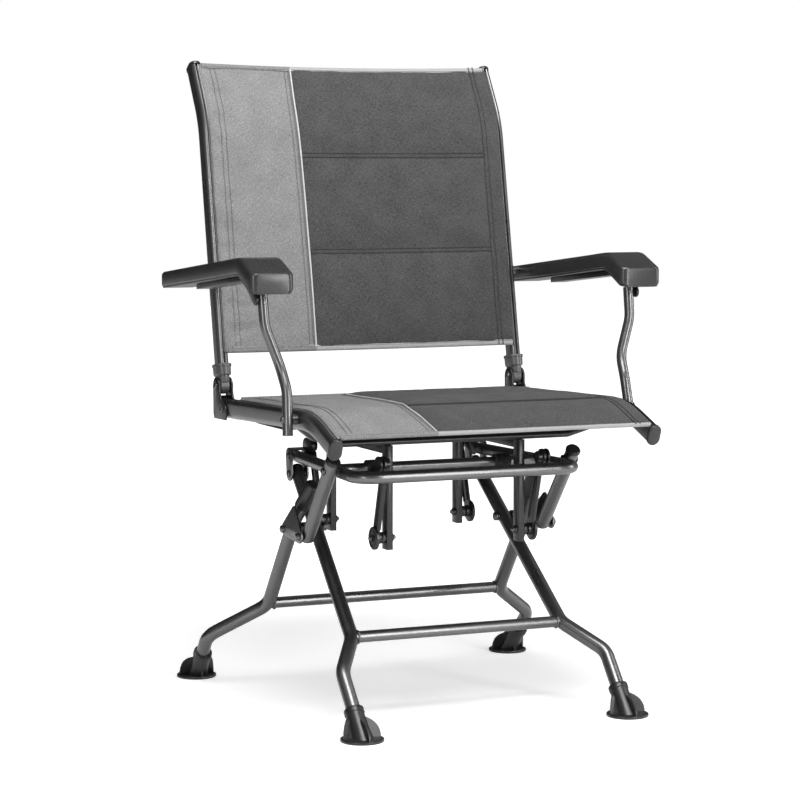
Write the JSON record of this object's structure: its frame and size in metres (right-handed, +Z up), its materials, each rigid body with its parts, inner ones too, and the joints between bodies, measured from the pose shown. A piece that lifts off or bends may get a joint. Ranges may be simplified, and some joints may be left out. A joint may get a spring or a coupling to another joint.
{
  "type": "folding glider armchair",
  "caption": "Folding outdoor armchair with sling seat and back, folding armrests and crossed tubular legs, its seat hung on swinging links so that it glides.",
  "frame": {"origin": "on the floor, under the middle of the bounding box", "axes": "+Z up, the chair faces -Y, +X to the right as seen from in front"},
  "size_m": [0.696, 0.6732, 1.0243],
  "materials": {
    "frame_paint": "gloss powder coat, dark gunmetal",
    "black_steel": "satin black paint",
    "bolt_steel": "black zinc",
    "black_plastic": "moulded, fine texture",
    "arm_plastic": "moulded, soft sheen",
    "rubber": "ribbed",
    "sling_fabric": "woven, light and dark grey panels"
  },
  "bodies": {
    "base": {"ring_tube": "frame_paint", "mid_bar": "frame_paint", "bumper_left": "rubber", "bumper_right": "rubber", "knuckle_left": "frame_paint", "knuckle_right": "frame_paint", "link_ear_front_left": "black_steel", "link_ear_front_right": "black_steel", "link_ear_rear_left": "black_steel", "link_ear_rear_right": "black_steel"},
    "front_legs": {"front_leg_left": "frame_paint", "front_leg_right": "frame_paint", "front_crossbar": "frame_paint", "front_foot_left": "black_plastic", "front_foot_right": "black_plastic", "crossing_bolt_left": "bolt_steel", "crossing_bolt_right": "bolt_steel"},
    "rear_legs": {"rear_leg_left": "frame_paint", "rear_leg_right": "frame_paint", "rear_crossbar": "frame_paint", "rear_foot_left": "black_plastic", "rear_foot_right": "black_plastic", "strut_bracket_left": "frame_paint", "strut_bracket_right": "frame_paint"},
    "strut_l": {"strut_left": "frame_paint", "strut_plug_left": "black_plastic"},
    "strut_r": {"strut_right": "frame_paint", "strut_plug_right": "black_plastic"},
    "link_fl": {"link_front_left": "black_steel"},
    "link_fr": {"link_front_right": "black_steel"},
    "link_rl": {"link_rear_left": "black_steel"},
    "link_rr": {"link_rear_right": "black_steel"},
    "seat": {"seat_rail_left": "frame_paint", "seat_rail_right": "frame_paint", "rail_cap_left": "black_plastic", "rail_cap_right": "black_plastic", "seat_cross_front": "frame_paint", "seat_cross_rear": "frame_paint", "post_front_left": "frame_paint", "post_front_right": "frame_paint", "post_rear_left": "frame_paint", "post_rear_right": "frame_paint", "seat_bar_left": "frame_paint", "seat_bar_right": "frame_paint", "hinge_bracket_left": "black_steel", "hinge_bracket_right": "black_steel", "seat_sling": "sling_fabric"},
    "back": {"back_upright_left": "frame_paint", "back_upright_right": "frame_paint", "upright_cap_left": "black_plastic", "upright_cap_right": "black_plastic", "hinge_sleeve_left": "black_plastic", "hinge_sleeve_right": "black_plastic", "back_sling": "sling_fabric"},
    "arm_l": {"armrest_left": "arm_plastic", "arm_bar_left": "black_steel"},
    "arm_r": {"armrest_right": "arm_plastic", "arm_bar_right": "black_steel"},
    "arm_strut_l": {"arm_strut_left": "frame_paint"},
    "arm_strut_r": {"arm_strut_right": "frame_paint"}
  },
  "joints": [
    {"name": "leg_fold", "type": "hinge", "parent": "base", "child": "front_legs", "pos_m": [0, 0.11699, 0.351], "axis": [-1, 0, 0], "range_deg": [0, 32]},
    {"name": "rear_leg_fold", "type": "hinge", "parent": "front_legs", "child": "rear_legs", "pos_m": [0, 0.02299, 0.275], "axis": [1, 0, 0], "range_deg": [0, 90]},
    {"name": "strut_left_swing", "type": "hinge", "parent": "base", "child": "strut_l", "pos_m": [-0.207, -0.13601, 0.384], "axis": [1, 0, 0], "range_deg": [0, 5]},
    {"name": "strut_right_swing", "type": "hinge", "parent": "base", "child": "strut_r", "pos_m": [0.207, -0.13601, 0.384], "axis": [1, 0, 0], "range_deg": [0, 5]},
    {"name": "glide", "type": "hinge", "parent": "base", "child": "link_fl", "pos_m": [-0.1327, -0.17801, 0.395], "axis": [1, 0, 0], "range_deg": [-16, 14]},
    {"name": "link_front_right_swing", "type": "hinge", "parent": "base", "child": "link_fr", "pos_m": [0.1327, -0.17801, 0.395], "axis": [1, 0, 0], "range_deg": [-16, 14]},
    {"name": "link_rear_left_swing", "type": "hinge", "parent": "base", "child": "link_rl", "pos_m": [-0.1327, 0.12399, 0.395], "axis": [1, 0, 0], "range_deg": [-16, 14]},
    {"name": "link_rear_right_swing", "type": "hinge", "parent": "base", "child": "link_rr", "pos_m": [0.1327, 0.12399, 0.395], "axis": [1, 0, 0], "range_deg": [-16, 14]},
    {"name": "seat_pitch", "type": "hinge", "parent": "link_fl", "child": "seat", "pos_m": [0, -0.14301, 0.277], "axis": [1, 0, 0], "range_deg": [-21, 21]},
    {"name": "back_fold", "type": "hinge", "parent": "seat", "child": "back", "pos_m": [0, 0.18399, 0.492], "axis": [1, 0, 0], "range_deg": [0, 93]},
    {"name": "arm_left_swing", "type": "hinge", "parent": "back", "child": "arm_l", "pos_m": [-0.32, 0.22699, 0.672], "axis": [1, 0, 0], "range_deg": [-93, 0]},
    {"name": "arm_right_swing", "type": "hinge", "parent": "back", "child": "arm_r", "pos_m": [0.32, 0.22699, 0.672], "axis": [1, 0, 0], "range_deg": [-93, 0]},
    {"name": "arm_strut_left_swing", "type": "hinge", "parent": "seat", "child": "arm_strut_l", "pos_m": [-0.291, -0.17601, 0.469], "axis": [1, 0, 0], "range_deg": [0, 93]},
    {"name": "arm_strut_right_swing", "type": "hinge", "parent": "seat", "child": "arm_strut_r", "pos_m": [0.291, -0.17601, 0.469], "axis": [1, 0, 0], "range_deg": [0, 93]}
  ],
  "couplings": [
    {"joint": "rear_leg_fold", "follows": "leg_fold", "ratio": 2.7832},
    {"joint": "strut_left_swing", "follows": "leg_fold", "ratio": 0.1297},
    {"joint": "strut_right_swing", "follows": "leg_fold", "ratio": 0.1297},
    {"joint": "link_front_right_swing", "follows": "glide", "ratio": 1},
    {"joint": "link_rear_left_swing", "follows": "glide", "ratio": 1},
    {"joint": "link_rear_right_swing", "follows": "glide", "ratio": 1},
    {"joint": "seat_pitch", "follows": "glide", "ratio": -1.3018},
    {"joint": "arm_left_swing", "follows": "back_fold", "ratio": -1},
    {"joint": "arm_right_swing", "follows": "back_fold", "ratio": -1},
    {"joint": "arm_strut_left_swing", "follows": "back_fold", "ratio": 1},
    {"joint": "arm_strut_right_swing", "follows": "back_fold", "ratio": 1}
  ]
}
